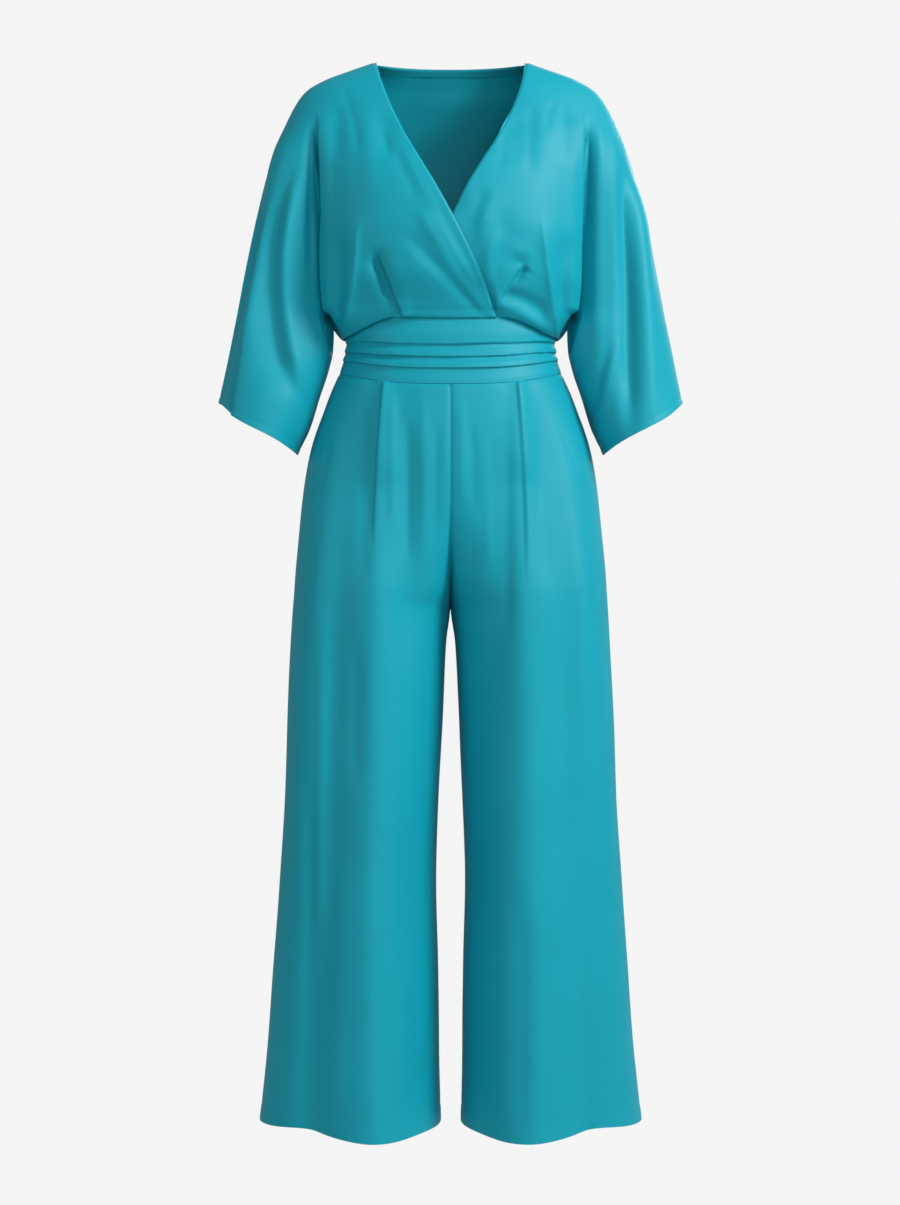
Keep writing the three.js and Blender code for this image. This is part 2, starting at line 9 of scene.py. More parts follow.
import bpy
import numpy as np
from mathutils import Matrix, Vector

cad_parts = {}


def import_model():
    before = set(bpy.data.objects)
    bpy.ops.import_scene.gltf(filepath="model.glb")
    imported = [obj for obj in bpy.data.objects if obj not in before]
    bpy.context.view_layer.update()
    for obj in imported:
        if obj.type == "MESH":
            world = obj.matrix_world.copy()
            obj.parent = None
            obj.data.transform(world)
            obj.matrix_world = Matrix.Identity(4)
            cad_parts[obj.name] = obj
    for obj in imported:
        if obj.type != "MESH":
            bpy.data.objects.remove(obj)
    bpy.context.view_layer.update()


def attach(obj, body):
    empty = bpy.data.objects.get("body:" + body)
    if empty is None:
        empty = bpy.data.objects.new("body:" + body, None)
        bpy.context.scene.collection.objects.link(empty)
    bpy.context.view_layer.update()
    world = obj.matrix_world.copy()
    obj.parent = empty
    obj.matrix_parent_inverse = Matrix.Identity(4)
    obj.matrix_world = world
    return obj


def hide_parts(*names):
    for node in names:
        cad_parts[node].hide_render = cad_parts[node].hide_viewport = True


MM = 0.001
CLOTH = 0.9  # thickness shown
FRONT = -1
BACK = 1
LEVEL = 90  # drop where the rows of the shoulder become level
SHOULDER_SET = 0.15  # share of the way to that level over which the shoulder seam's line is left
UNDERARM = 335
FORK = 735
HEM = 1420
NECK_X = 102
SHOULDER_X = 166
UNDERARM_X = 165
WAIST_X = 141
LAP = 6
FOLD_ROUND = 1.06
ROUND = 2.3  # how square the body's sections are
SEAM_DIP = 0.7  # how deep a seam lies in the cloth
SEAM_SOFT = 3.5  # how far from a seam the cloth dips
SEAM_CLEAR = 6  # creases fade out this near a seam, so that the pieces meet
FAR = 1000.0  # the distance given where there is no such edge
MERGE = 200  # points are joined where they agree to one part in this of a millimetre
SHARP = 62  # degrees between faces from which an edge is shown sharp


# Numbers


def mix(a, b, share):
    return a + (b - a) * share


def smooth(start, end, value):
    t = np.clip((value - start) / (end - start), 0, 1)
    return t * t * (3 - 2 * t)


def slopes(keys, values):
    """Slopes of a curve through the values that never overshoots them."""
    secants = np.diff(values) / np.diff(keys)
    before, after = secants[:-1], secants[1:]
    turns = before * after <= 0
    total = np.where(turns, 1, before + after)
    inner = np.where(turns, 0, 2 * before * after / total)
    return np.concatenate([secants[:1], inner, secants[-1:]])


def curve(keys, values, key):
    key = np.asarray(key, float)
    i = np.clip(np.searchsorted(keys, key, side="right") - 1, 0, len(keys) - 2)
    span = keys[i + 1] - keys[i]
    t = np.clip((key - keys[i]) / span, 0, 1)
    slope = slopes(keys, values)
    rise = t * t * (3 - 2 * t)
    bend = slope[i] * t * (1 - t) ** 2 + slope[i + 1] * t * t * (t - 1)
    return mix(values[i], values[i + 1], rise) + bend * span


def table(names, rows):
    """A reader that gives a named column's value where the key column has a value."""
    data = np.array(rows, float)

    def read(name, key, key_name=names[0]):
        return curve(data[:, names.index(key_name)], data[:, names.index(name)], key)

    return read


def steps(*spans):
    """Even steps over each span in turn, given as (start, end, count)."""
    parts = [np.linspace(start, end, count + 1) for start, end, count in spans]
    return np.unique(np.round(np.concatenate(parts), 9))


def roundness(share):
    return np.sqrt(np.maximum(0, 1 - np.abs(share) ** ROUND))


def waves(seed, count, shortest, longest):
    """A soft uneven surface: a sum of waves of chosen lengths, from -1 to 1 or so."""
    rng = np.random.default_rng(seed)
    lengths = rng.uniform(shortest, longest, count)
    angles = rng.uniform(0, math.pi, count)
    phases = rng.uniform(0, 2 * math.pi, count)

    def at(u, v):
        total = np.zeros(np.shape(u))
        for length, angle, phase in zip(lengths, angles, phases):
            along = u * math.cos(angle) + v * math.sin(angle)
            total += np.sin(2 * math.pi * along / length + phase)
        return total / math.sqrt(count)

    return at


# The garment's sections

BODICE = table(
    ["drop", "half", "front", "back", "fold", "split"],
    [
        [0, 103, 32, 58, 124, 0],
        [12, 137, 42, 64, 136, 0],
        [24, 168, 48, 70, 146, 0],
        [40, 195.5, 56, 76, 156, 0],
        [60, 210.5, 66, 84, 165, 0],
        [90, 225, 82, 93, 172, 0.04],
        [120, 238, 96, 100, 175, 0.3],
        [160, 249.7, 111, 106, 175, 0.58],
        [200, 259.5, 121, 109, 175, 0.76],
        [240, 268.4, 126, 111, 175, 0.86],
        [290, 278.6, 122, 112, 175, 0.93],
        [335, 287, 104, 107, 172, 1],
        [400, 300, 76, 98, 150, 1],
        [455, 312, 76, 98, 150, 1],
        [530, 328, 76, 98, 150, 1],
    ],
)
WRAP = table(
    ["drop", "over", "under"],
    [
        [0, 102, 102],
        [27, 93.5, 96.7],
        [60, 81.5, 86.5],
        [99, 64.7, 69.5],
        [149, 36.7, 40],
        [175, 21.6, 24.5],
        [219, -1.9, 2],
        [256, -20.6, -14],
        [294, -38, -32],
        [354, -61, -54],
    ],
)
SLEEVE = table(
    ["drop", "inner", "depth"],
    [
        [90, 180, 50],
        [200, 170, 52],
        [335, 165, 60],
        [362, 156.5, 63],
        [387, 157.5, 65],
        [413, 163, 67],
        [454, 176.5, 71],
        [494, 189, 74],
        [528, 206, 76],
    ],
)
CUFF_INNER = 528
CUFF_OUTER = 458
BLOUSE = table(
    ["share", "reach", "side", "out", "drop"],
    [
        [0, 1, 1, 0, 335],
        [0.2, 0.94, 0.88, 0, 346],
        [0.4, 0.8, 0.58, 0.5, 360],
        [0.55, 0.56, 0.3, 1.2, 369.5],
        [0.68, 0.28, 0.12, 1.6, 373.5],
        [0.8, 0.08, 0.03, 1.8, 369.5],
        [0.93, 0, 0, 1.6, 346],
        [1, 0, 0, 0, 346],
    ],
)
BLOUSE_FROM = 60
BACK_BLOUSE = 0.75
BLOUSE_TURN = 1.15  # how late the cloth turns in to the band where it isn't bagged
BAND = table(
    ["share", "half", "front", "back"],
    [
        [0, WAIST_X, 95, 88],
        [0.46, 140, 95.5, 88.5],
        [0.63, 141.5, 97, 90],
        [0.77, 144, 98.5, 92.5],
        [1, 149.5, 102, 97],
    ],
)
BAND_TOP = (353.5, 346, 2)  # drops at the centre and at the side, and how late the line falls
BAND_BOTTOM = (439.5, 419.5, 2.8)
TUCKS = [(0.404, 0.463), (0.599, 0.626), (0.766, 0.77)]  # shares of the band's height
TUCK_LIFT = 3.2
TUCK_FACE = (0, 0.7, 0.95, 1)  # shares of a tuck's face between which it rises and falls
TUCK_WOBBLE = {"size": 0.007, "count": 5, "shortest": 60, "longest": 240, "seed": 20}
TUCK_UNEVEN = {"size": 0.25, "count": 4, "shortest": 50, "longest": 200, "seed": 30}
TUCK_END = (0.84, 0.92)  # share of the way to the side where tucks flatten, and by how much
LAST_LIFT = 0.9  # how far the band's lower edge stands out
BAND_ALLOWANCE = 0.05  # share of the band's height that stands up inside the bodice's seam
ALLOWANCE_ROWS = np.array([1, 0.6, 0.25])
ALLOWANCE_INSET = 1.3  # its depth inside, times the cloth's thickness
BAND_COLUMNS = 141
BAND_ROWS = 75
BAND_RUN = 200.0  # rounded length along the cloth from the middle to the side
BAND_HEIGHT = 80.0  # rounded
TROUSERS = table(
    ["drop", "half", "front", "back", "gap", "middle", "legs", "front_seam", "back_seam"],
    [
        [430, 149.5, 102, 97, 0, 60, 0, -102, 97],
        [446, 152.5, 103.5, 101, 0, 62, 0.03, -103.5, 101],
        [464, 164.5, 105.5, 106, 0, 67, 0.07, -105, 106],
        [482, 175.5, 108, 112, 0, 72, 0.12, -107, 111],
        [534, 191, 111, 124, 0, 82, 0.3, -109, 123],
        [588, 199, 113, 131, 0, 92, 0.55, -105, 129],
        [640, 204, 114, 133, 0, 99, 0.78, -92, 121],
        [690, 208.5, 114, 129, 0, 103, 0.95, -58, 80],
        [715, 210, 114, 126, 0, 105, 1, -26, 44],
        [735, 211.5, 114, 124, 0, 106, 1, 6, 6],
        [777, 214, 114, 121, 5.4, 108, 1, 6, 6],
        [884, 219, 113, 118, 10.8, 110, 1, 5, 5],
        [992, 222, 112, 117, 16, 111, 1, 4, 4],
        [1100, 230, 112, 118, 19, 112, 1, 3, 3],
        [1208, 238, 112, 120, 16.5, 110, 1, 2, 2],
        [1315, 246, 113, 122, 16, 108, 1, 1, 1],
        [1420, 256.5, 114, 125, 14, 106, 1, 0, 0],
    ],
)
TROUSER_TOP = 430
LEG_LEVEL = 482

# Folds and creases. Each runs from (x0, drop0) to (x1, drop1), bowed aside in its middle, and widens
# and rises from its first width and height to its second. A negative height is a trough. Folds are the
# large forms, set before the cloth is relaxed, and creases are the finer ones, set after it.

CREASE = ["x0", "drop0", "x1", "drop1", "bow", "width0", "width1", "height0", "height1"]
CREASE_ENDS = (-0.15, 0.2)  # shares of its length between which a crease grows to its full height

# The edge of a folded layer: raised on one side and sunk on the other, with a step between them.
# "faces" is 1 where the side towards greater x is raised, and "soft" is half the step's width.

EDGE = ["x0", "drop0", "x1", "drop1", "bow", "rise", "rise_width", "dip", "dip_width", "faces"]
EDGE += ["soft", "fade0", "fade1"]

OVER_FOLDS = [
    [-98, 274, -70, 338, 0, 12, 11, -9, -5],
    [-44, 248, 30, 332, 0, 15, 12, -4, -2.2],
    [-38, 218, 6, 290, 0, 13, 11, 3.2, 2.6],
    [-24, 206, 44, 322, 0, 10, 8, -1.6, -2],
    [-151, 68, -149, 142, 0, 13, 11, -3, -1.6],
    [-87, 88, -88, 145, 0, 15, 13, -3, -1.5],
    [-125, 232, -136, 366, 0, 10, 11, 3, 5],
    [-151, 245, -150, 362, 0, 12, 10, -4, -4],
]
UNDER_FOLDS = [
    [92, 276, 66, 330, 0, 12, 11, -8, -5],
    [74, 222, 52, 318, 0, 11, 9, -3.5, -3],
    [44, 190, 16, 252, 0, 11, 8, -2, -3],
    [56, 188, 30, 262, 0, 10, 8, 1.6, 2.4],
    [151, 68, 149, 142, 0, 13, 11, -2.4, -1.4],
    [87, 88, 88, 145, 0, 15, 13, -2.4, -1.4],
    [124, 236, 135, 366, 0, 10, 11, 4, 5],
    [152, 250, 148, 362, 0, 11, 10, -4, -4],
]
LEG_FOLDS = [
    [90, 430, 92, 560, 0, 9, 24, 4, 6],
    [92, 520, 108, 1650, 0, 22, 50, 3, 30],
    [128, 470, 160, 900, 0, 22, 26, -4, -5],
    [150, 800, 196, 1650, 0, 20, 24, -3, -12],
    [55, 520, 60, 800, 0, 18, 20, -4, -3],
    [172, 640, 205, 1100, 0, 16, 20, 4, 5],
]
SEAT_FOLDS = [
    [95, 560, 114, 1650, 0, 30, 44, 3, 18],
    [165, 700, 194, 1650, 0, 24, 26, -3, -8],
    [55, 700, 50, 1300, 0, 22, 24, -3, -5],
]
BACK_FOLDS = [
    [118, 110, 128, 366, 0, 22, 14, -4, -4],
    [60, 60, 70, 366, 0, 26, 16, 3, 4],
    [150, 180, 146, 366, 0, 10, 10, 3, 4],
    [26, 190, 34, 366, 0, 16, 12, -3, -4],
]


def bump(distance, width):
    return np.exp(-((distance / width) ** 2))


def along(line, x, drop):
    """Share of the line's length, and the distance from it, above 0 towards greater x."""
    run_x, run_drop = line["x1"] - line["x0"], line["drop1"] - line["drop0"]
    length = math.hypot(run_x, run_drop)
    from_x, from_drop = x - line["x0"], drop - line["drop0"]
    share = (from_x * run_x + from_drop * run_drop) / length**2
    t = np.clip(share, 0, 1)
    bow = line["bow"] * 4 * t * (1 - t)
    return share, (from_x * run_drop - from_drop * run_x) / length - bow


def folds_at(rows, x, drop):
    total = np.zeros(np.shape(x))
    for row in rows:
        crease = dict(zip(CREASE, row))
        share, away = along(crease, x, drop)
        t = np.clip(share, 0, 1)
        width = mix(crease["width0"], crease["width1"], t)
        height = mix(crease["height0"], crease["height1"], t)
        start, inside = CREASE_ENDS
        ends = smooth(start, inside, share) * (1 - smooth(1 - inside, 1 - start, share))
        total += height * bump(away, width) * ends
    return total


def edges_at(rows, x, drop):
    total = np.zeros(np.shape(x))
    for row in rows:
        edge = dict(zip(EDGE, row))
        share, away = along(edge, x, drop)
        away = away * edge["faces"]
        high = edge["rise"] * bump(away, edge["rise_width"])
        low = -edge["dip"] * bump(away, edge["dip_width"])
        ends = smooth(0, edge["fade0"], share) * (1 - smooth(1 - edge["fade1"], 1, share))
        total += mix(low, high, (1 + np.tanh(away / edge["soft"])) / 2) * ends
    return total


# Cloth: patches of points that share their edges, given one wall


class Cloth:
    """Patches of points, with values kept for each point and the cut's width and length."""

    def __init__(self):
        self.points = []
        self.marks = []
        self.quads = []
        self.count = 0
        self.cut = (0, 0)

    def add(self, places, turned, **marks):
        """A patch: places is rows x columns x 3. Marks are rows x columns values kept for each point."""
        rows, columns = places.shape[:2]
        numbers = self.count + np.arange(rows * columns).reshape(rows, columns)
        ring = [numbers[:-1, :-1], numbers[:-1, 1:], numbers[1:, 1:], numbers[1:, :-1]]
        if turned:
            ring = ring[::-1]
        self.quads.append(np.stack([r.ravel() for r in ring], 1))
        self.points.append(places.reshape(-1, 3))
        self.marks.append({k: np.broadcast_to(v, (rows, columns)).ravel() for k, v in marks.items()})
        self.count += rows * columns
        self.cut = (arc(places, 1)[:, -1].max(), arc(places, 0)[-1].max())

    def join(self):
        """Merges points in the same place. A mark keeps its least value there."""
        points = np.concatenate(self.points)
        keys = np.round(points * MERGE).astype(np.int64)
        _, first, number = np.unique(keys, axis=0, return_index=True, return_inverse=True)
        number = number.ravel()
        self.points = points[first]
        quads = number[np.concatenate(self.quads)]
        self.quads = quads[[len(set(q)) == 4 for q in quads.tolist()]]
        joined = {}
        for name in self.marks[0]:
            values = np.concatenate([m[name] for m in self.marks])
            least = np.full(len(first), np.inf)
            np.minimum.at(least, number, values)
            joined[name] = least
        self.marks = joined
        return self

    def normals(self):
        a, b, c, d = (self.points[self.quads[:, i]] for i in range(4))
        face = np.cross(c - a, d - b)
        total = np.zeros_like(self.points)
        for i in range(4):
            np.add.at(total, self.quads[:, i], face)
        return total / np.maximum(1e-9, np.linalg.norm(total, axis=1, keepdims=True))

    def border(self):
        """Pairs of points along the open edges, in their faces' direction."""
        pairs = np.concatenate([self.quads[:, [i, (i + 1) % 4]] for i in range(4)])
        here = set(map(tuple, pairs.tolist()))
        return np.array([p for p in here if (p[1], p[0]) not in here])

    def relax(self, rounds, share=0.5):
        """Rounds off kinks, with the open edges kept in place."""
        pairs = np.concatenate([self.quads[:, [i, (i + 1) % 4]] for i in range(4)])
        pairs = np.unique(np.sort(pairs, 1), axis=0)
        free = np.ones(len(self.points), bool)
        free[self.border().ravel()] = False
        near = np.zeros(len(self.points))
        np.add.at(near, pairs.ravel(), 1)
        for _ in range(rounds):
            total = np.zeros_like(self.points)
            np.add.at(total, pairs[:, 0], self.points[pairs[:, 1]])
            np.add.at(total, pairs[:, 1], self.points[pairs[:, 0]])
            middle = total / near[:, None]
            self.points[free] += share * (middle - self.points)[free]

    def lift(self, height):
        self.points += self.normals() * height[:, None]


def arc(points, axis):
    """Distance along each row (axis 1) or column (axis 0) from its start."""
    lengths = np.linalg.norm(np.diff(points, axis=axis), axis=-1)
    return np.insert(np.cumsum(lengths, axis), 0, 0, axis)


def from_end(points, axis):
    return np.flip(arc(np.flip(points, axis), axis), axis)


WAVE_COUNT = 9
BODICE_WAVES = {"height": 0.35, "shortest": 55, "longest": 140, "fall": 0.6}
TROUSER_WAVES = {"height": 0.6, "shortest": 60, "longest": 170, "fall": 0.35}


def seam_dip(distance):
    return -SEAM_DIP * bump(distance, SEAM_SOFT)


def hem_relief(hem, distance):
    """A turned hem stands out below its line of stitches, which lies in a small dip."""
    soft = hem["soft"]
    step = hem["rise"] * (1 - smooth(hem["at"] - soft, hem["at"] + soft, distance))
    return step - hem["dip"] * bump(distance - hem["at"], hem["width"])


def uneven(kind, seed, x, drop):
    surface = waves(seed, WAVE_COUNT, kind["shortest"], kind["longest"])
    return kind["height"] * surface(x, drop * kind["fall"])


def make_piece(name, sheet, thickness):
    """A closed thin shell of the sheet, whose points are its outside."""
    normals = sheet.normals()
    count = len(sheet.points)
    points = np.concatenate([sheet.points, sheet.points - normals * thickness]) * MM
    start, end = sheet.border().T
    rim = np.stack([end, start, start + count, end + count], 1)
    faces = np.concatenate([sheet.quads, sheet.quads[:, ::-1] + count, rim])
    mesh = bpy.data.meshes.new(name)
    mesh.from_pydata(points.tolist(), [], faces.tolist())
    mesh.polygons.foreach_set("use_smooth", np.ones(len(faces), bool))
    mesh.set_sharp_from_angle(angle=math.radians(SHARP))
    mesh.validate()
    piece = bpy.data.objects.new(name, mesh)
    bpy.context.scene.collection.objects.link(piece)
    return piece


def grid(rows, columns):
    """Arrays of the column value and of the row value, each rows x columns."""
    across, down = np.meshgrid(columns, rows)
    return across, down


def place(side, face, x, y, drop):
    return np.stack(np.broadcast_arrays(side * x, face * np.maximum(y, 0), -drop), -1)


# Waistband sections


def seam_drop(line, x, half):
    return mix(line[0], line[1], np.minimum(1, np.abs(x / half) ** line[2]))


def band_plan(face, turn, share):
    half = BAND("half", share)
    depth = BAND("front" if face == FRONT else "back", share)
    angle = turn * math.pi / 2
    x = half * np.sin(angle) ** (2 / ROUND)
    return x, np.maximum(0, depth * np.cos(angle)), half, depth


# Bodice. "across" runs from the wrap edge or centre back (0) over the body's fold (1) and the
# underarm line (2) to the sleeve's outer seam (3). "down" runs from the shoulder (0) over the
# sleeve level (1) and the underarm (2) to the waist or the cuff (3). A panel's lobe is the size of
# the sleeve's depth and how early it rises and how late it falls across the sleeve.

OVER = {"face": FRONT, "edge": "over", "lobe": (1.05, 0.27, 10)}
UNDER = {"face": FRONT, "edge": "under", "lobe": (1.17, 0.27, 4)}
PLAIN = {"face": BACK, "edge": None, "lobe": (1.38, 0.4, 3)}
FRONT_STEPS = {
    "edge": 10, "body": 136, "turn": 12, "arm": 56, "shoulder": 44, "chest": 120, "blouse": 44, "sleeve": 54
}
BACK_STEPS = {
    "edge": 2, "body": 58, "turn": 12, "arm": 40, "shoulder": 30, "chest": 64, "blouse": 32, "sleeve": 40
}
EDGE_SHARE = 0.04  # share of the body's columns kept for the wrap edge
SLEEVE_BEYOND = 0.1  # how much of the cuff's half-width lies outside the underarm's row in the flat cut
CUFF_RISE = 9  # how much shorter the back half of the sleeve hangs
CUFF_SAG = 7  # how much the front half's cuff sags outside its middle
NECK_RISE = 2.2  # how far the back neck edge stands above the neck points
NECK_CORNER = 8  # how late the back neck edge falls to the neck points
BODY_CROWD = 1.2  # how much the body's columns crowd towards its fold
ARM_CROWD = 0.7  # how much the sleeve's columns crowd towards its two lines
TOP_CROWD = 1.7  # how much the rows crowd towards the shoulder seam
NOTCH_OUT = 1.05  # where the sleeve isn't split off yet, the underarm's line over the fold's
SHIFT_FADE = 3  # how fast the shift of an edge fades across the panel
SLEEVE_FREE = (0.1, 0.8)  # shares of the sleeve between which it comes to hang as a free oval
LAP_FADE = (45, 10)  # widths of the lap's edge, where the fronts cross and near the waist
LAP_ROWS = (219, 330)
LAP_EDGE = 2
WAIST_DRAW = 0.24  # how much narrower the side of the bodice is at the waist
SLANT_FADE = 3  # how fast the wrap edge's slant fades across the panel
BAG_TURN = (0.8, 0.93)  # shares between which the bag's underside takes up the seam's line
BAG_DEPTH = 2  # weight of depth against width in the way the bag stands out
BAG_FORWARD = 5  # how much further it stands out forward than sideways
BODICE_RELAX = 8
BODICE_SEAM = 0.6  # how deep the bodice's seams lie, of a full seam's depth
CUFF = {"at": 8, "rise": 0.35, "soft": 0.7, "dip": 0.6, "width": 1.5}
WRAP_ROLL = {"height": 1.6, "width": 1.8}
WAIST_ROLL = {"height": 2.2, "from": 1.6, "to": 14}
LOOSE = {"plain": (0.94, 1), "bagged": (0.5, 0.9)}  # shares of the blouse over which folds fade out


def inner_edge(panel, drop):
    return WRAP(panel["edge"], drop) if panel["edge"] else np.zeros(np.shape(drop))


def notch_x(drop):
    return mix(BODICE("fold", drop) * NOTCH_OUT, UNDERARM_X, BODICE("split", drop))


def part(across, start):
    return np.clip(across - start, 0, 1)


def pick(across, body, turn, sleeve):
    return np.where(across <= 1, body, np.where(across <= 2, turn, sleeve))


def level_x(panel, across, drop):
    fold, notch = BODICE("fold", drop), notch_x(drop)
    body = mix(inner_edge(panel, drop), fold, 1 - (1 - part(across, 0)) ** BODY_CROWD)
    turn = mix(fold, notch, part(across, 1))
    sleeve = mix(notch, BODICE("half", drop), part(across, 2))
    return pick(across, body, turn, sleeve)


def shoulder_drop(x):
    return np.maximum(0, BODICE("drop", x, "half"))


def top_point(panel, across):
    if panel["face"] == FRONT:
        x = mix(NECK_X, SHOULDER_X, across / 3)
        return x, shoulder_drop(x)
    x = np.where(across <= 1, NECK_X * across, mix(NECK_X, SHOULDER_X, (across - 1) / 2))
    return x, np.where(across <= 1, -NECK_RISE * (1 - across**NECK_CORNER), shoulder_drop(x))


def upper_point(panel, across, down):
    top_x, top_drop = top_point(panel, across)
    share = down**TOP_CROWD
    drop = mix(top_drop, LEVEL, share)
    first, last = inner_edge(panel, np.float64(0)), inner_edge(panel, np.float64(LEVEL))
    edge = inner_edge(panel, drop) - mix(first, last, share)
    outer = BODICE("half", drop) - mix(SHOULDER_X, BODICE("half", LEVEL), share)
    x = mix(top_x, level_x(panel, across, np.full(np.shape(across), float(LEVEL))), share)
    shift = edge * (1 - across / 3) ** SHIFT_FADE + outer * (across / 3) ** SHIFT_FADE
    return x + shift * smooth(0, SHOULDER_SET, down), drop


def sleeve_lobe(panel, share, free):
    """Depth across the sleeve: leaning outward or inward by the panel's lobe, or a free oval."""
    size, rise, fall = panel["lobe"]
    leaning = size * share**rise * np.sqrt(np.maximum(0, 1 - share**fall))
    oval = np.sqrt(np.maximum(0, 1 - (2 * share - 1) ** 2))
    return mix(leaning, oval, free)


def lap_share(x, drop):
    """1 where the over front lies on the under front, and 0 beyond its edge."""
    edge = -WRAP("over", drop)
    fade = mix(*LAP_FADE, smooth(*LAP_ROWS, drop))
    return 1 - smooth(edge + LAP_EDGE, edge + fade, x)


def lap_inset(panel, x, drop):
    return LAP * lap_share(x, drop) if panel["edge"] == "under" else 0


def depth_of(panel, drop):
    return BODICE("front" if panel["face"] == FRONT else "back", drop)


def parted_y(panel, across, x, drop):
    depth, fold = depth_of(panel, drop), BODICE("fold", drop)
    body = depth * roundness(x / (fold * FOLD_ROUND))
    turn = mix(depth * roundness(1 / FOLD_ROUND), 0, part(across, 1))
    sleeve = SLEEVE("depth", drop) * sleeve_lobe(panel, part(across, 2), 0)
    return pick(across, body, turn, sleeve)


def bodice_y(panel, across, x, drop):
    joined = depth_of(panel, drop) * roundness(x / BODICE("half", drop))
    return mix(joined, parted_y(panel, across, x, drop), BODICE("split", drop))


def bodice_place(panel, side, across, down):
    level = mix(LEVEL, UNDERARM, np.maximum(0, down - 1))
    up_x, up_drop = upper_point(panel, across, np.minimum(down, 1))
    x = np.where(down <= 1, up_x, level_x(panel, across, level))
    drop = np.where(down <= 1, up_drop, level)
    seam = (across == 3) | ((down == 0) & (x >= NECK_X - 1e-6))
    y = np.where(seam, 0, bodice_y(panel, across, x, drop) - lap_inset(panel, x, drop))
    return place(side, panel["face"], x, y, drop)


def waist_plan(panel, across, underarm_x):
    depth = BAND("front" if panel["face"] == FRONT else "back", 0)

    def narrowed(x):
        return x * (1 - WAIST_DRAW * smooth(BLOUSE_FROM, BODICE("fold", UNDERARM), np.abs(x)))

    slant = inner_edge(panel, np.float64(BAND_TOP[0])) - inner_edge(panel, np.float64(UNDERARM))
    body_x = narrowed(underarm_x) + slant * (1 - part(across, 0)) ** SLANT_FADE
    turn_x = narrowed(BODICE("fold", UNDERARM))
    turn_y = mix(depth * roundness(turn_x / WAIST_X), 0, part(across, 1))
    side_x = WAIST_X * (1 - (turn_y / depth) ** 2) ** (1 / ROUND)
    x = np.where(across <= 1, body_x, side_x)
    y = np.where(across <= 1, depth * roundness(body_x / WAIST_X), turn_y)
    return x, y


def blouse_place(panel, side, across, down):
    share = down - 2
    at = np.full(np.shape(across), float(UNDERARM))
    from_x = level_x(panel, across, at)
    from_y = bodice_y(panel, across, from_x, at)
    to_x, to_y = waist_plan(panel, across, from_x)
    least = 0 if panel["face"] == FRONT else BACK_BLOUSE
    full = mix(least, 1, bag_share(to_x))
    seam = seam_drop(BAND_TOP, to_x, WAIST_X)
    turned = mix(BLOUSE("drop", share), seam, smooth(*BAG_TURN, share))
    straight = 1 - share**BLOUSE_TURN
    reach = mix(straight, BLOUSE("reach", share), full)
    side_reach = mix(straight, BLOUSE("side", share), full)
    length = np.hypot(to_x, to_y * BAG_DEPTH)
    out = full * BLOUSE("out", share) / length
    drop = mix(mix(UNDERARM, seam, share), turned, full)
    x = mix(to_x + out * to_x, from_x, side_reach)
    y = mix(to_y + out * to_y * BAG_FORWARD, from_y, reach) - lap_inset(panel, x, drop)
    return place(side, panel["face"], x, np.where(across == 2, 0, y), drop)


def sleeve_place(panel, side, across, down):
    share, around = down - 2, across - 2
    if panel["face"] == BACK:
        rise = CUFF_RISE * np.sin(math.pi * around)
    else:
        rise = -CUFF_SAG * np.sin(math.pi * around**2)
    drop = mix(UNDERARM, mix(CUFF_INNER, CUFF_OUTER, around) - rise, share)
    x = mix(SLEEVE("inner", drop), BODICE("half", drop), around)
    depth = SLEEVE("depth", drop) * sleeve_lobe(panel, around, smooth(*SLEEVE_FREE, share))
    return place(side, panel["face"], x, depth, drop)


def bodice_side(sheet, panel, side):
    """The body and the sleeve of one side."""
    turned = side * panel["face"] < 0
    count = FRONT_STEPS if panel["face"] == FRONT else BACK_STEPS
    torso = steps((0, EDGE_SHARE, count["edge"]), (EDGE_SHARE, 1, count["body"]), (1, 2, count["turn"]))
    even = np.linspace(0, 1, count["arm"] + 1)
    arm = np.round(2 + mix(even, (1 - np.cos(even * math.pi)) / 2, ARM_CROWD), 9)
    upper = steps((0, 1, count["shoulder"]), (1, 2, count["chest"]))
    sizes = {}
    parts = [
        (upper, np.concatenate([torso, arm[1:]]), bodice_place, "upper"),
        (steps((2, 3, count["blouse"])), torso, blouse_place, "blouse"),
        (steps((2, 3, count["sleeve"])), arm, sleeve_place, "sleeve"),
    ]
    for rows, columns, placed, kind in parts:
        across, down = grid(rows, columns)
        points = placed(panel, side, across, down)
        drop = -points[..., 2]
        loose = np.ones(np.shape(down))
        waist = hem = edge = FAR
        seam = from_end(points, 1)
        if kind == "upper":
            underarm = points[-1, np.argmin(np.abs(columns - 2))]
            seam = np.minimum(seam, np.linalg.norm(points - underarm, axis=-1))
            seam = np.minimum(seam, arc(points, 0))
        elif kind == "blouse":
            waist = from_end(points, 0)
            bagged = bag_share(points[..., 0])
            start, end = (mix(*both, bagged) for both in zip(LOOSE["plain"], LOOSE["bagged"]))
            loose = 1 - smooth(start, end, down - 2)
            seam = np.minimum(seam, waist)
        else:
            hem = -points[-1:, :, 2] - drop
            seam = np.minimum(seam, arc(points, 1))
        if panel["edge"]:
            edge = np.abs(points[..., 0] * side - inner_edge(panel, drop))
        sheet.add(points, turned, loose=loose, hem=hem, edge=edge, seam=seam, waist=waist)
        sizes[kind] = sheet.cut
    longest = sizes["upper"][1] + max(sizes["blouse"][1], sizes["sleeve"][1])
    sheet.cut = (sizes["upper"][0] + sizes["sleeve"][0] * SLEEVE_BEYOND, longest)


def bag_share(x):
    return smooth(BLOUSE_FROM, WAIST_X, np.abs(x))


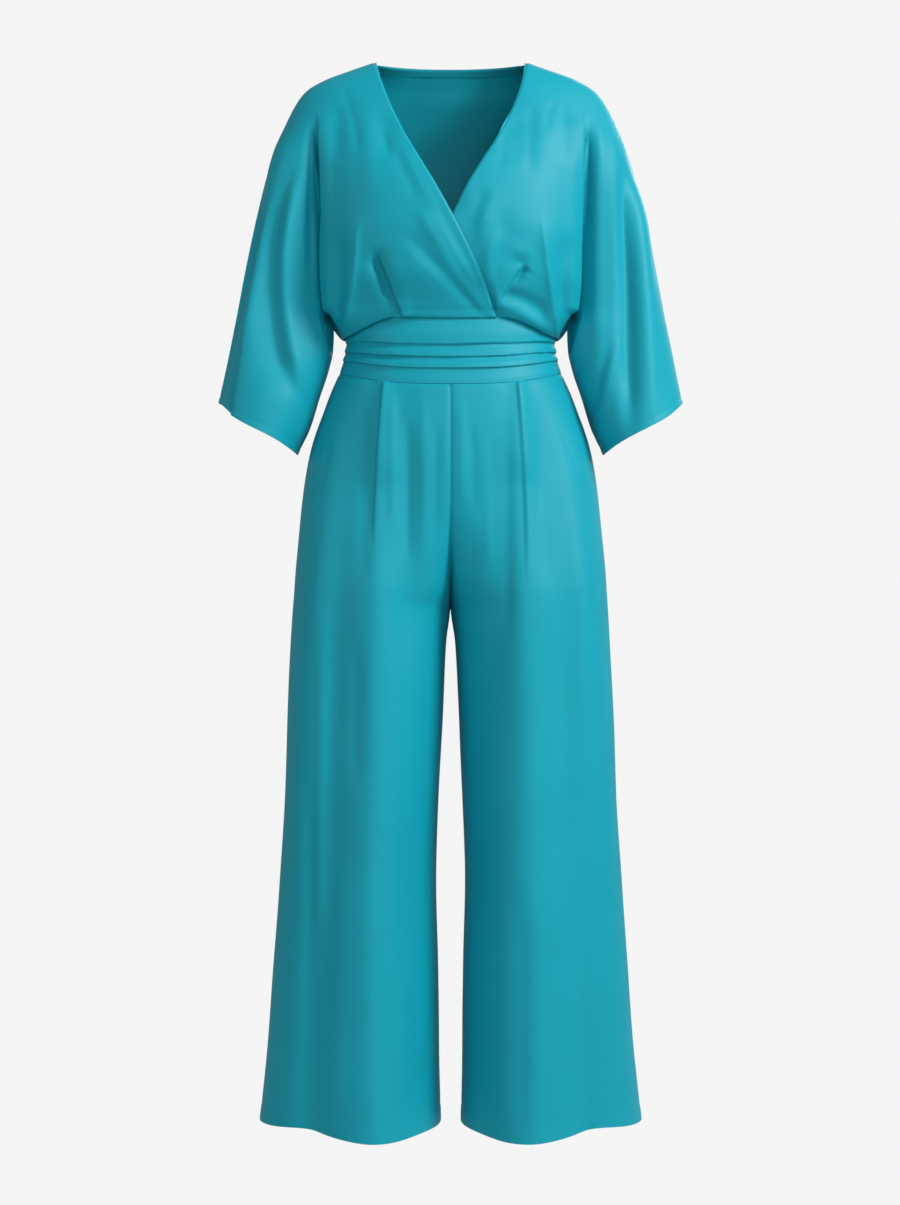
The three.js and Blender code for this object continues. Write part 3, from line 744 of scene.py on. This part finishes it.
def bodice_sheet(panel, sides, folds, creases, edges, lap, seed):
    """One bodice panel. "lap" holds the folds and creases of the layer lying over this one."""
    sheet = Cloth()
    for side in sides:
        bodice_side(sheet, panel, side)
    both = len(sides) == 2
    sheet.cut = (sheet.cut[0] * len(sides), sheet.cut[1])
    sheet.join()
    x, drop = sheet.points[:, 0], -sheet.points[:, 2]
    x = np.abs(x) if both else x
    height = folds_at(folds, x, drop)
    if lap:
        height = mix(height, folds_at(lap[0], x, drop), lap_share(x, drop))
    free = np.ones(len(x))
    free[sheet.border().ravel()] = 0
    sheet.lift(height * sheet.marks["loose"] * free)
    sheet.relax(BODICE_RELAX)
    x, drop = sheet.points[:, 0], -sheet.points[:, 2]
    near = np.abs(x) if both else x
    height = folds_at(creases, near, drop) + edges_at(edges, near, drop)
    if lap:
        height = mix(height, folds_at(lap[1], x, drop), lap_share(x, drop))
    seam, waist = sheet.marks["seam"], sheet.marks["waist"]
    clear = smooth(0, SEAM_CLEAR, seam)
    height = (height + uneven(BODICE_WAVES, seed, x, drop)) * clear
    height += hem_relief(CUFF, sheet.marks["hem"]) + seam_dip(seam) * BODICE_SEAM
    height -= WRAP_ROLL["height"] * bump(sheet.marks["edge"], WRAP_ROLL["width"]) * clear
    start, end = WAIST_ROLL["from"], WAIST_ROLL["to"]
    roll = smooth(0, start, waist) * (1 - smooth(start, end, waist))
    height += WAIST_ROLL["height"] * roll * (1 - bag_share(x))
    sheet.lift(height * sheet.marks["loose"])
    return sheet


# Creases in the bodice beyond the solids' folds

OVER_CREASES = [
    [-99, 268, -82, 326, 0, 6, 7, -2.5, -4],
    [-93, 329, -71, 333, 0, 3, 2.6, 0.8, 2.6],
    [-122, 236, -143, 372, 4, 3.6, 4, 1, 2.6],
    [-137, 262, -152, 345, 0, 8, 7, -1.2, -2.4],
    [-58, 250, 45, 353, 0, 9, 6, -1.2, -1.4],
    [-52, 240, 46, 347, 3, 9, 6, 1, 1.2],
    [-30, 226, 30, 318, 0, 6, 5, -0.7, -0.8],
    [-64, 131, 22, 300, 0, 8, 6, 0.9, 0.9],
    [-76, 128, -46, 196, 0, 9, 8, -1.4, -1],
    [-143, 42, -121, 134, 3, 6, 7, -0.8, -1.2],
    [-88, 112, -80, 140, 0, 6, 5, -1.4, -1],
    [-110, 60, -104, 190, 0, 13, 12, 1.4, 1.2],
    [-164, 96, -162, 330, 0, 8, 7, 1.2, 1.6],
    [-188, 100, -186, 300, 0, 5, 5, -2, -1.5],
]
OVER_EDGES = [
    [-97, 270, -61.6, 356, 1.2, 4, 14, 6.5, 9, 1, 1.1, 0.2, 0.01],
    [-179, 70, -172, 262, 2, 2.5, 12, 5, 11, 1, 1.7, 0.25, 0.5],
    [-247, 182, -292, 482, -3.4, 2, 15, 7, 34, 1, 1.2, 0.2, 0.01],
    [-175, 336, -156, 404, 0, 1, 12, 7, 16, -1, 1.5, 0.2, 0.15],
    [-199, 130, -197, 462, -31, 10, 20, 10, 44, 1, 6.5, 0.3, 0.2],
]
UNDER_CREASES = [
    [72, 322, 127, 349, 4, 8, 11, -4, -5],
    [62, 336, 135, 371, 3, 7, 8, 2.6, 3],
    [119, 226, 143.5, 377, -1.5, 4, 4, 1.2, 3],
    [137, 262, 152, 345, 0, 7, 7, -1.2, -2.2],
    [20, 254, 44, 233, 0, 4, 6, -2.4, -0.8],
    [32, 290, 68, 246, 0, 9, 9, 1.6, 1.2],
    [58, 306, 92, 240, 2, 8, 10, -2, -1.2],
    [64, 320, 92, 262, 0, 7, 8, 1.4, 1.2],
    [74, 98, 66, 158, 0, 9, 9, -1.2, -0.8],
    [107, 76, 105, 162, 0, 10, 9, -2, -1.2],
    [135, 63, 126, 101, 0, 7, 7, -1.2, -0.8],
    [163, 130, 161, 330, 0, 8, 7, 1.2, 1.6],
    [197, 104, 195, 400, 0, 10, 11, 4.5, 4.5],
    [234, 150, 236, 480, 0, 12, 13, -13, -13],
    [254, 170, 266, 474, 0, 11, 14, 4.5, 5],
    [209, 384, 186, 494, -3, 6, 6, -2.2, -2.8],
    [222, 384, 199, 494, -3, 6, 6, 1.8, 2.2],
]
UNDER_EDGES = [
    [97, 283, 60, 345, -2.4, 3, 13, 2.2, 9, -1, 1.1, 0.15, 0.01],
    [98, 285, 78, 314, -1, 0.2, 10, 4.5, 11, -1, 1.4, 0.15, 0.6],
    [181, 74, 175, 262, 0, 2.5, 12, 5, 10, -1, 1.7, 0.25, 0.5],
    [174, 336, 156, 404, 0, 1, 12, 7, 16, 1, 1.5, 0.2, 0.15],
]
BACK_CREASES = [
    [40, 230, 52, 366, 2, 9, 7, -2.2, -3.4],
    [84, 240, 92, 366, -2, 8, 6, 1.8, 3.4],
    [104, 280, 112, 368, 1, 7, 6, -2, -3.4],
    [12, 290, 14, 366, 0, 6, 5, -1, -2.6],
    [66, 270, 70, 366, 1, 7, 5, 1.2, 2.4],
    [126, 250, 132, 368, 1, 8, 6, 1.6, 2.8],
    [138, 80, 120, 188, 3, 10, 9, -3, -2],
    [72, 70, 96, 210, -4, 12, 10, 2, 2.4],
    [160, 96, 104, 300, 12, 11, 12, 2, 1.6],
    [162, 90, 164, 320, 0, 9, 8, 1.2, 1.4],
    [222, 118, 204, 480, -5, 14, 13, -3.4, -3.4],
    [250, 170, 268, 450, 3, 11, 14, 1.8, 2.6],
    [196, 190, 190, 420, 0, 8, 9, 1.4, 2],
]
BACK_EDGES = [
    [179, 76, 174, 262, 0, 2.2, 12, 4.5, 11, -1, 1.8, 0.25, 0.5],
]


# Waistband


def tuck_share(tuck, turn):
    return mix(tuck[0], tuck[1], np.abs(turn) ** 2)


def tuck_waves(kind, number, turn):
    surface = waves(kind["seed"] + number, kind["count"], kind["shortest"], kind["longest"])
    return kind["size"] * surface(turn * BAND_RUN, 0)


def tuck_lift(turn, share):
    """How far the front band stands out: each tuck rises down its face and ends in a step."""
    lift = np.zeros(np.shape(share))
    start = np.zeros(np.shape(share))
    rise_from, rise_to, fall_from, fall_to = TUCK_FACE
    for number, tuck in enumerate(TUCKS):
        wobble = tuck_waves(TUCK_WOBBLE, number, turn)
        end = tuck_share(tuck, turn) + wobble * (1 - turn**4)
        length = (share - start) / (end - start)
        full = 1 + tuck_waves(TUCK_UNEVEN, number, turn)
        rise = smooth(rise_from, rise_to, length) * (1 - smooth(fall_from, fall_to, length))
        lift = np.where((length > 0) & (length <= 1), TUCK_LIFT * full * rise, lift)
        start = end
    length = (share - start) / (1 - start)
    lift = np.where(length > 0, LAST_LIFT * smooth(0, 1, length), lift)
    flat_from, flat_by = TUCK_END
    return lift * (1 - flat_by * smooth(flat_from, 1, np.abs(turn)))


def waistband_sheet(face):
    rows = np.concatenate([-BAND_ALLOWANCE * ALLOWANCE_ROWS, np.linspace(0, 1, BAND_ROWS)])
    turn, share = grid(rows, np.linspace(-1, 1, BAND_COLUMNS))
    lift = tuck_lift(turn, share) if face == FRONT else np.zeros(np.shape(share))
    lift = np.where(share < 0, -ALLOWANCE_INSET * CLOTH, lift)
    x, y, half, depth = band_plan(face, np.abs(turn), share)
    out = np.stack([x / half**2, y / depth**2], -1)
    out = out / np.linalg.norm(out, axis=-1, keepdims=True) * lift[..., None]
    top, bottom = seam_drop(BAND_TOP, x, half), seam_drop(BAND_BOTTOM, x, half)
    place_x = np.sign(turn) * (x + out[..., 0])
    place_y = face * np.where(np.abs(turn) == 1, 0, y + out[..., 1])
    level_seam = np.minimum(np.abs(share), 1 - share) * BAND_HEIGHT
    side_seam = (1 - np.abs(turn)) * BAND_RUN
    sheet = Cloth()
    points = np.stack([place_x, place_y, -mix(top, bottom, share)], -1)
    sheet.add(points, face < 0, seam=np.minimum(level_seam, side_seam))
    sheet.join()
    sheet.lift(seam_dip(sheet.marks["seam"]))
    return sheet


# Trousers. "across" runs from the centre seam (0) over the leg's middle (1) to the side seam (2).


def trouser_plan(face, across, drop):
    legs = TROUSERS("legs", drop)
    depth = TROUSERS("front" if face == FRONT else "back", drop)
    seam_y = face * TROUSERS("front_seam" if face == FRONT else "back_seam", drop)
    angle = across * math.pi / 4
    half, middle = TROUSERS("half", drop), TROUSERS("middle", drop)
    hip_x = half * np.sin(angle) ** (2 / ROUND)
    hip_y = depth * np.cos(angle)
    inner = part(across, 0)
    outer_angle = part(across, 1) * math.pi / 2
    inner_x = mix(TROUSERS("gap", drop), middle, 1 - np.cos(inner * math.pi / 2))
    outer_x = mix(middle, half, np.sin(outer_angle) ** (2 / ROUND))
    leg_x = np.where(across <= 1, inner_x, outer_x)
    leg_y = np.where(across <= 1, depth, depth * np.cos(outer_angle))
    inward = (1 - np.sin(inner * math.pi / 2) ** SEAM_TURN) * (seam_y - depth)
    inward = np.where(across < 1, inward, 0)
    return mix(hip_x, leg_x, legs), mix(hip_y, leg_y, legs) + inward


TROUSER_COLUMNS = steps((0, 1, 72), (1, 2, 56))
TROUSER_ROWS = steps((TROUSER_TOP, FORK, 70), (FORK, HEM, 95))
TROUSER_RELAX = 6
TROUSER_HEM = {"at": 20, "rise": 0.4, "soft": 0.8, "dip": 0.5, "width": 1.8}
HEM_SAG_FROM = 1150
HEM_SAGS = [{"x": 95, "width": 62, "sag": 9}, {"x": 200, "width": 34, "sag": -4}]
CENTRE_SEAM = {"dip": 1.5, "width": 2.4, "fade": 70}
SEAM_TURN = 0.9  # how early the cloth turns in towards the centre seam
ON_CENTRE = 0.01  # points this near the centre seam lie on it
ON_EDGE = 0.5  # points this near the hem belong to its edge
OFF_SEAM = 5  # and to the seams only within this depth


def hem_sag(x):
    """How far the hem hangs below its level at the seams."""
    return sum(wave["sag"] * bump(x - wave["x"], wave["width"]) for wave in HEM_SAGS)


def trouser_sheet(face, side, folds, creases, edges, seed):
    across, drop = grid(TROUSER_ROWS, TROUSER_COLUMNS)
    x, y = trouser_plan(face, across, drop)
    share = 1 - smooth(TROUSER_TOP, LEG_LEVEL, drop)
    waist = seam_drop(BAND_BOTTOM, x, TROUSERS("half", drop))
    height = np.where(drop >= LEG_LEVEL, drop, mix(drop, waist, share))
    height = height + hem_sag(x) * smooth(HEM_SAG_FROM, HEM, drop)
    y = np.where(across == 2, 0, y)
    points = np.stack([side * x, face * np.maximum(y, 0), -height], -1)
    seam = np.minimum(np.minimum(arc(points, 1), from_end(points, 1)), arc(points, 0))
    centre = np.where(drop <= FORK, arc(points, 1), FAR)
    sheet = Cloth()
    sheet.add(points, side * face < 0, hem=HEM - drop, seam=seam, centre=centre)
    sheet.join()
    free = np.ones(len(sheet.points))
    free[sheet.border().ravel()] = 0
    hem_edge = sheet.marks["hem"] < ON_EDGE
    free[hem_edge & (np.abs(sheet.points[:, 1]) > OFF_SEAM)] = 1
    reach, drop = np.abs(sheet.points[:, 0]), -sheet.points[:, 2]
    sheet.lift(folds_at(folds, reach, drop) * free)
    sheet.relax(TROUSER_RELAX)
    x, drop = sheet.points[:, 0], -sheet.points[:, 2]
    seam, centre = sheet.marks["seam"], sheet.marks["centre"]
    lift = folds_at(creases, x, drop) + edges_at(edges, x, drop)
    lift = (lift + uneven(TROUSER_WAVES, seed, x, drop)) * smooth(0, SEAM_CLEAR, seam)
    lift += hem_relief(TROUSER_HEM, sheet.marks["hem"]) + seam_dip(seam)
    above_fork = 1 - smooth(FORK - CENTRE_SEAM["fade"], FORK, drop)
    lift -= CENTRE_SEAM["dip"] * bump(centre, CENTRE_SEAM["width"]) * above_fork
    sheet.lift(lift)
    sheet.points[centre < ON_CENTRE, 0] = 0
    return sheet


RIGHT_LEG_CREASES = [
    [-56, 490, -56, 668, 0, 7, 7, -2, -2.2],
    [-76, 452, -75, 622, 0, 7, 7, 1.8, 1.8],
    [-36, 470, -35, 690, 0, 7, 8, 1.6, 1.4],
    [-18, 500, -20, 640, 0, 6, 6, -1.4, -1.2],
    [-112, 470, -118, 700, 2, 9, 10, -1.6, -2.2],
    [-167, 770, -172, 1160, 0, 9, 10, 2.8, 2.8],
    [-184, 990, -184, 1400, 0, 10, 10, -3, -3.6],
    [-123.5, 786, -124, 956, 0, 11, 10, -2.4, -2.2],
    [-55, 760, -58, 1010, 0, 26, 24, 2.4, 2.6],
    [-90, 1020, -84, 1400, 0, 15, 18, -2, -3.4],
    [-140, 1080, -150, 1400, 0, 14, 16, 2, 3],
    [-161, 508, -179, 590, 2, 6, 6, -0.9, -0.8],
    [-188, 654, -182, 682, 0, 4, 4, -0.6, -0.5],
]
LEFT_LEG_CREASES = [
    [74, 500, 74, 764, 0, 10, 9, -2.6, -2.8],
    [14, 470, 14, 590, 0, 7, 7, 1.8, 1.4],
    [46, 520, 50, 680, 0, 8, 8, 1.6, 1.4],
    [28, 500, 30, 600, 0, 6, 6, -1.4, -1.2],
    [27, 640, 26, 766, 0, 12, 12, -2, -1.6],
    [31, 800, 34, 1380, 0, 13, 12, -2.6, -2.6],
    [91.5, 1120, 90, 1415, 0, 15, 16, -3, -4.4],
    [165, 806, 164, 1280, 0, 15, 15, 2.4, 2.6],
    [118, 480, 126, 700, -2, 10, 10, -1.4, -1.8],
    [60, 900, 64, 1200, 0, 18, 16, 2, 2.2],
    [196, 1000, 204, 1400, 0, 10, 12, -2, -3],
    [145, 500, 182, 594, 3, 6, 6, -1.1, -0.9],
]
RIGHT_LEG_EDGES = [
    [-89.4, 432, -102, 680, -2.4, 2, 12, 3.2, 15, 1, 1.3, 0.02, 0.5],
]
LEFT_LEG_EDGES = [
    [87.2, 432, 99, 720, 3.6, 2, 9, 1.7, 16, 1, 1.2, 0.02, 0.4],
]
SEAT_CREASES = [
    [60, 470, 66, 640, 0, 12, 11, -1.4, -1.8],
    [128, 500, 150, 660, 3, 10, 9, -1.2, -1.6],
    [30, 700, 44, 780, 2, 8, 8, -2, -1.4],
    [22, 740, 58, 770, -2, 6, 7, 1.6, 1],
    [88, 760, 92, 1040, 0, 16, 15, 2, 2.2],
    [150, 860, 158, 1180, 0, 13, 13, -2.2, -2.6],
    [60, 1040, 66, 1400, 0, 16, 18, -2, -3.4],
    [182, 1060, 190, 1400, 0, 12, 14, 2, 3],
]


def mirrored(rows):
    return [[-row[0], row[1], -row[2], row[3], -row[4], *row[5:]] for row in rows]


# Neck band, just inside the back

NECK_BAND = {"start": 0.02, "depth": 0.26, "end": 0.93, "gap": 0.15, "cloth": 0.6}
NECK_BAND_ROWS = 13
NECK_BAND_COLUMNS = 121


def neck_band_sheet():
    end = NECK_BAND["end"]
    rows = np.linspace(NECK_BAND["start"], NECK_BAND["depth"], NECK_BAND_ROWS)
    across, down = grid(rows, np.linspace(-end, end, NECK_BAND_COLUMNS))
    points = bodice_place(PLAIN, 1, np.abs(across), down)
    points[..., 0] *= np.sign(across)
    sheet = Cloth()
    sheet.add(points, False)
    sheet.join()
    sheet.points -= sheet.normals() * (CLOTH + NECK_BAND["gap"])
    return sheet


# Materials


DYE = {"Scale": 9.0, "Detail": 4.0}
DYE_RANGE = (0.93, 1.06)
THREAD = {"Scale": 900.0, "Detail": 2.0}
FLECKS = 0.12
GLOSS_RANGE = (-0.05, 0.07)
GRAIN = {"Strength": 0.12, "Distance": 0.0003}
SHEEN = {
    "Sheen Weight": 0.04,
    "Sheen Roughness": 0.5,
    "Sheen Tint": (0.4, 0.9, 1.0, 1),
    "Specular IOR Level": 0.25,
}
SATIN = {"name": "satin_crepe", "colour": (0.003, 0.385, 0.49), "roughness": 0.5}
# The neck band's crepe is the satin's colour darkened: painted shade for the band's place inside the back.
SHADED_INSIDE = {"name": "neck_band_crepe", "colour": (0.003, 0.33, 0.42), "roughness": 0.6}


def new_node(tree, kind, values):
    node = tree.nodes.new(kind)
    put(node, values)
    return node


def put(node, values):
    for name, value in values.items():
        node.inputs[name].default_value = value


def crepe(name, colour, roughness):
    """Satin crepe: a fine pebbled grain, a soft sheen and slightly uneven dye."""
    material = bpy.data.materials.new(name)
    material.use_nodes = True
    tree = material.node_tree
    link = tree.links.new
    shader = tree.nodes["Principled BSDF"]
    put(shader, SHEEN)
    where = tree.nodes.new("ShaderNodeTexCoord").outputs["Object"]
    dye = new_node(tree, "ShaderNodeTexNoise", DYE)
    thread = new_node(tree, "ShaderNodeTexNoise", THREAD)
    link(where, dye.inputs["Vector"])
    link(where, thread.inputs["Vector"])

    low, high = DYE_RANGE
    tones = {
        "Color1": (*[c * low for c in colour], 1),
        "Color2": (*[min(1, c * high) for c in colour], 1),
    }
    shade = new_node(tree, "ShaderNodeMixRGB", tones)
    link(dye.outputs["Fac"], shade.inputs["Fac"])
    flecks = new_node(tree, "ShaderNodeMixRGB", {"Fac": FLECKS})
    flecks.blend_type = "MULTIPLY"
    link(shade.outputs["Color"], flecks.inputs["Color1"])
    link(thread.outputs["Fac"], flecks.inputs["Color2"])
    link(flecks.outputs["Color"], shader.inputs["Base Color"])

    low, high = GLOSS_RANGE
    ends = {"To Min": roughness + low, "To Max": roughness + high}
    gloss = new_node(tree, "ShaderNodeMapRange", ends)
    link(thread.outputs["Fac"], gloss.inputs["Value"])
    link(gloss.outputs["Result"], shader.inputs["Roughness"])

    grain = new_node(tree, "ShaderNodeBump", GRAIN)
    link(thread.outputs["Fac"], grain.inputs["Height"])
    link(grain.outputs["Normal"], shader.inputs["Normal"])
    return material


# Lights, floor and camera


PALE = 0.91  # the tone of floor and world that the camera sees
WORLD = {"Color": (0.9, 0.96, 1.0, 1), "Strength": 0.3}
FLOOR = -1.75
FLOOR_SIZE = 60
FLOOR_LOOK = {"Base Color": (0.5, 0.5, 0.5, 1), "Roughness": 1.0, "Specular IOR Level": 0.0}
AIM = (0, 0, -0.6)
LIGHTS = [
    {"name": "key", "place": (2.8, -1.9, 1.7), "size": (1.1, 1.4), "power": 130},
    {"name": "front", "place": (0.6, -3.4, 0.6), "size": (1.6, 1.6), "power": 25},
    {"name": "fill", "place": (-2.9, -2.2, 0.1), "size": (1.6, 2.4), "power": 15},
    {"name": "back", "place": (1.3, 2.7, 1.0), "size": (1.6, 1.6), "power": 42},
]
CAMERA_DISTANCE = 3.6
CAMERA_X = -0.0007
VIEW_HEIGHT = 1.6223
VIEW_MIDDLE = -0.7264
SENSOR = 36


def area_light(name, place, size, power):
    data = bpy.data.lights.new(name, "AREA")
    data.shape = "RECTANGLE"
    data.size, data.size_y = size
    data.energy = power
    light = bpy.data.objects.new(name, data)
    light.location = place
    light.rotation_mode = "QUATERNION"
    light.rotation_quaternion = (Vector(AIM) - Vector(place)).to_track_quat("-Z", "Y")
    bpy.context.scene.collection.objects.link(light)


def plain_to_camera(tree, shader, output):
    """Shows the flat pale tone to the camera, and lets the given shader light the rest."""
    seen = new_node(tree, "ShaderNodeEmission", {"Color": (PALE, PALE, PALE, 1)})
    path = tree.nodes.new("ShaderNodeLightPath")
    both = tree.nodes.new("ShaderNodeMixShader")
    tree.links.new(path.outputs["Is Camera Ray"], both.inputs["Fac"])
    tree.links.new(shader, both.inputs[1])
    tree.links.new(seen.outputs["Emission"], both.inputs[2])
    tree.links.new(both.outputs["Shader"], output)


def studio():
    world = bpy.data.worlds.new("studio")
    world.use_nodes = True
    tree = world.node_tree
    light = tree.nodes["Background"]
    put(light, WORLD)
    plain_to_camera(tree, light.outputs["Background"], tree.nodes["World Output"].inputs["Surface"])
    bpy.context.scene.world = world
    bpy.context.scene.view_settings.view_transform = "Standard"

    bpy.ops.mesh.primitive_plane_add(size=FLOOR_SIZE, location=(0, 0, FLOOR))
    floor = bpy.context.active_object
    floor.name = "floor"
    material = bpy.data.materials.new("floor")
    material.use_nodes = True
    tree = material.node_tree
    shader = tree.nodes["Principled BSDF"]
    put(shader, FLOOR_LOOK)
    plain_to_camera(tree, shader.outputs["BSDF"], tree.nodes["Material Output"].inputs["Surface"])
    floor.data.materials.append(material)
    for light in LIGHTS:
        area_light(**light)


def camera():
    data = bpy.data.cameras.new("camera")
    data.sensor_width = SENSOR
    data.lens = SENSOR * CAMERA_DISTANCE / VIEW_HEIGHT
    view = bpy.data.objects.new("camera", data)
    view.location = (CAMERA_X, -CAMERA_DISTANCE, VIEW_MIDDLE)
    view.rotation_euler = (math.pi / 2, 0, 0)
    bpy.context.scene.collection.objects.link(view)
    bpy.context.scene.camera = view


# The whole

def dress(node, sheet, material, thickness):
    piece = make_piece(node + "_cloth", sheet, thickness)
    piece.data.materials.append(material)
    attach(piece, "root")
    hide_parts(node)


def main():
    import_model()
    satin, inside = crepe(**SATIN), crepe(**SHADED_INSIDE)
    sheets = {
        "bodice_front_over": bodice_sheet(OVER, [-1], OVER_FOLDS, OVER_CREASES, OVER_EDGES, None, 1),
        "bodice_front_under": bodice_sheet(
            UNDER, [1], UNDER_FOLDS, UNDER_CREASES, UNDER_EDGES, (OVER_FOLDS, OVER_CREASES), 2
        ),
        "bodice_back": bodice_sheet(PLAIN, [-1, 1], BACK_FOLDS, BACK_CREASES, BACK_EDGES, None, 3),
        "back_neck_band": neck_band_sheet(),
        "waistband_front": waistband_sheet(FRONT),
        "waistband_back": waistband_sheet(BACK),
        "trouser_front_right": trouser_sheet(
            FRONT, -1, LEG_FOLDS, RIGHT_LEG_CREASES, RIGHT_LEG_EDGES, 4
        ),
        "trouser_front_left": trouser_sheet(
            FRONT, 1, LEG_FOLDS, LEFT_LEG_CREASES, LEFT_LEG_EDGES, 5
        ),
        "trouser_back_right": trouser_sheet(BACK, -1, SEAT_FOLDS, mirrored(SEAT_CREASES), [], 6),
        "trouser_back_left": trouser_sheet(BACK, 1, SEAT_FOLDS, SEAT_CREASES, [], 7),
    }
    for node, sheet in sheets.items():
        material, slot, thickness = satin, "satin_crepe", CLOTH
        # The neck band gets the darkened crepe, which is painted shade.
        if node == "back_neck_band":
            material, slot, thickness = inside, "neck_band_crepe", NECK_BAND["cloth"]
        dress(node, sheet, material, thickness)
    studio()
    camera()


main()
